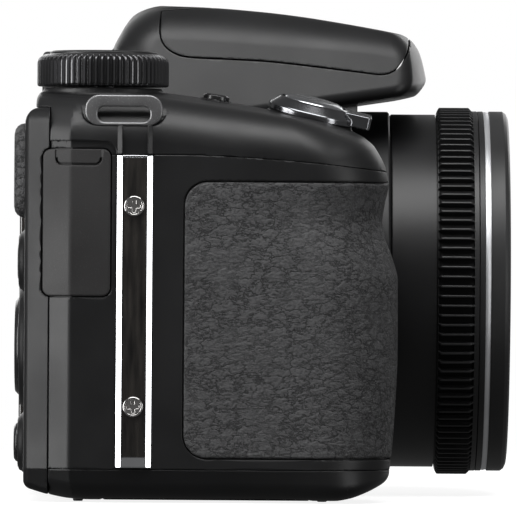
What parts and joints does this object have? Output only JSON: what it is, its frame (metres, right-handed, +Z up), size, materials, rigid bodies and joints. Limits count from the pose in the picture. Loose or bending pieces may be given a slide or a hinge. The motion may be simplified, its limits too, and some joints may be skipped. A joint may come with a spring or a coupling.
{
  "type": "bridge camera",
  "caption": "Bridge camera with a telescoping power-zoom lens, viewfinder hump with lift-up flash, padded hand grip, mode dial, shutter and zoom controls.",
  "frame": {"origin": "mouth of the tripod socket on the base plane, straight below the lens axis", "axes": "+X across the body away from the hand grip, -Y forward along the lens, +Z up"},
  "size_m": [0.1293, 0.0964, 0.097],
  "materials": {
    "moulded_black": "fine spark-eroded satin",
    "barrel_black": "smooth satin",
    "gloss_black": "gloss",
    "record_red": "gloss",
    "grain_rubber": "leather grain",
    "satin_chrome": "satin",
    "cast_metal": "matt cast",
    "clear_glass": "polished, coated",
    "lamp_amber": "clear amber",
    "inner_plastic": "matt",
    "electronics": "solder mask"
  },
  "bodies": {
    "body": {"front_shell": "moulded_black", "rear_cover": "moulded_black", "top_cover": "moulded_black", "base_cover": "moulded_black", "viewfinder_housing": "moulded_black", "grip_skin": "grain_rubber", "side_strip": "gloss_black", "strip_screws": "cast_metal", "strap_lugs": "cast_metal", "usb_socket": "cast_metal", "thumb_rest": "grain_rubber", "lcd_frame": "gloss_black", "lcd_window": "clear_glass", "lcd_module": "electronics", "eyecup": "grain_rubber", "eyepiece_lens": "clear_glass", "tripod_socket": "cast_metal", "feet": "grain_rubber", "base_screws": "cast_metal", "lens_collar": "moulded_black", "outer_barrel": "barrel_black", "nose_ring": "barrel_black", "trim_ring": "satin_chrome", "front_bezel": "barrel_black", "lens_base": "inner_plastic", "rear_lens_group": "clear_glass", "image_sensor": "electronics", "main_board": "electronics", "battery": "electronics", "battery_bay": "inner_plastic", "flash_pins": "cast_metal", "zoom_motor": "cast_metal", "door_pin": "cast_metal", "af_lamp": "lamp_amber"},
    "mode_dial": {"mode_dial": "gloss_black", "dial_cap": "gloss_black"},
    "shutter_button": {"shutter_button": "satin_chrome"},
    "zoom_lever": {"zoom_lever": "satin_chrome"},
    "power_button": {"power_button": "gloss_black"},
    "flash_lid": {"flash_lid": "moulded_black", "flash_head": "inner_plastic", "flash_window": "clear_glass"},
    "flash_button": {"flash_button": "gloss_black"},
    "focus_ring": {"focus_ring": "barrel_black"},
    "middle_barrel": {"middle_barrel": "barrel_black"},
    "inner_barrel": {"inner_barrel": "barrel_black", "front_retainer": "barrel_black", "front_element": "clear_glass"},
    "cam_ring": {"cam_ring": "inner_plastic"},
    "zoom_pinion": {"zoom_pinion": "inner_plastic"},
    "port_door": {"port_door": "grain_rubber"},
    "battery_door": {"battery_door": "moulded_black"},
    "battery_latch": {"battery_latch": "gloss_black"},
    "dioptre_dial": {"dioptre_dial": "gloss_black"},
    "nav_pad": {"nav_pad": "gloss_black"},
    "set_button": {"set_button": "gloss_black"},
    "menu_button": {"menu_button": "gloss_black"},
    "play_button": {"play_button": "gloss_black"},
    "delete_button": {"delete_button": "gloss_black"},
    "record_button": {"record_button": "record_red"}
  },
  "joints": [
    {"name": "mode_dial_turn", "type": "hinge", "parent": "body", "child": "mode_dial", "pos_m": [-0.0605, 0.0185, 0.082], "axis": [0, 0, 1], "continuous": true},
    {"name": "shutter_press", "type": "slide", "parent": "body", "child": "shutter_button", "axis": [0.1103, 0.225, -0.9681], "range_m": [0, 0.0008], "stiffness_N_per_m": 400, "springref_m": -0.0004},
    {"name": "zoom_rock", "type": "hinge", "parent": "body", "child": "zoom_lever", "pos_m": [-0.061, -0.0216, 0.07372], "axis": [-0.1103, -0.225, 0.9681], "range_deg": [-20, 20], "stiffness_Nm_per_rad": 0.02},
    {"name": "power_press", "type": "slide", "parent": "body", "child": "power_button", "axis": [0, 0.1495, -0.9888], "range_m": [0, 0.0005], "stiffness_N_per_m": 400, "springref_m": -0.0004},
    {"name": "flash_lift", "type": "hinge", "parent": "body", "child": "flash_lid", "pos_m": [0, 0.002, 0.0941], "axis": [-1, 0, 0], "range_deg": [0, 34]},
    {"name": "flash_release", "type": "slide", "parent": "body", "child": "flash_button", "axis": [-1, 0, 0], "range_m": [0, 0.0006], "stiffness_N_per_m": 400, "springref_m": -0.0004},
    {"name": "focus_turn", "type": "hinge", "parent": "body", "child": "focus_ring", "pos_m": [0, -0.051, 0.04], "axis": [0, -1, 0], "continuous": true},
    {"name": "zoom_extend", "type": "slide", "parent": "body", "child": "middle_barrel", "axis": [0, -1, 0], "range_m": [0, 0.028]},
    {"name": "zoom_extend_inner", "type": "slide", "parent": "middle_barrel", "child": "inner_barrel", "axis": [0, -1, 0], "range_m": [0, 0.026]},
    {"name": "cam_turn", "type": "hinge", "parent": "body", "child": "cam_ring", "pos_m": [0, -0.011, 0.04], "axis": [0, 1, 0], "range_deg": [0, 60.5]},
    {"name": "pinion_turn", "type": "hinge", "parent": "body", "child": "zoom_pinion", "pos_m": [-0.03947, -0.011, 0.02564], "axis": [0, 1, 0], "range_deg": [-363, 0]},
    {"name": "port_door_swing", "type": "hinge", "parent": "body", "child": "port_door", "pos_m": [-0.083, 0.023, 0.0388], "axis": [0, -1, 0], "range_deg": [0, 110], "stiffness_Nm_per_rad": 0.004},
    {"name": "battery_door_swing", "type": "hinge", "parent": "body", "child": "battery_door", "pos_m": [-0.0539, -0.002, 0.00095], "axis": [0, -1, 0], "range_deg": [0, 95]},
    {"name": "battery_latch_slide", "type": "slide", "parent": "battery_door", "child": "battery_latch", "axis": [1, 0, 0], "range_m": [0, 0.0024]},
    {"name": "dioptre_turn", "type": "hinge", "parent": "body", "child": "dioptre_dial", "pos_m": [0.0146, 0.0235, 0.0805], "axis": [1, 0, 0], "range_deg": [-60, 60]},
    {"name": "nav_rock", "type": "hinge", "parent": "body", "child": "nav_pad", "pos_m": [-0.057, 0.0335, 0.029], "axis": [1, 0, 0], "range_deg": [-3, 3], "stiffness_Nm_per_rad": 0.05},
    {"name": "set_press", "type": "slide", "parent": "body", "child": "set_button", "axis": [0, -1, 0], "range_m": [0, 0.0004], "stiffness_N_per_m": 400, "springref_m": -0.0004},
    {"name": "menu_press", "type": "slide", "parent": "body", "child": "menu_button", "axis": [0, -1, 0], "range_m": [0, 0.0005], "stiffness_N_per_m": 400, "springref_m": -0.0004},
    {"name": "play_press", "type": "slide", "parent": "body", "child": "play_button", "axis": [0, -1, 0], "range_m": [0, 0.0005], "stiffness_N_per_m": 400, "springref_m": -0.0004},
    {"name": "delete_press", "type": "slide", "parent": "body", "child": "delete_button", "axis": [0, -1, 0], "range_m": [0, 0.0005], "stiffness_N_per_m": 400, "springref_m": -0.0004},
    {"name": "record_press", "type": "slide", "parent": "body", "child": "record_button", "axis": [0, -1, 0], "range_m": [0, 0.0005], "stiffness_N_per_m": 400, "springref_m": -0.0004}
  ],
  "couplings": [
    {"joint": "zoom_extend_inner", "follows": "zoom_extend", "ratio": 0.92857},
    {"joint": "cam_turn", "follows": "zoom_extend", "rad_per_m": 37.4},
    {"joint": "pinion_turn", "follows": "zoom_extend", "rad_per_m": -224.4}
  ]
}
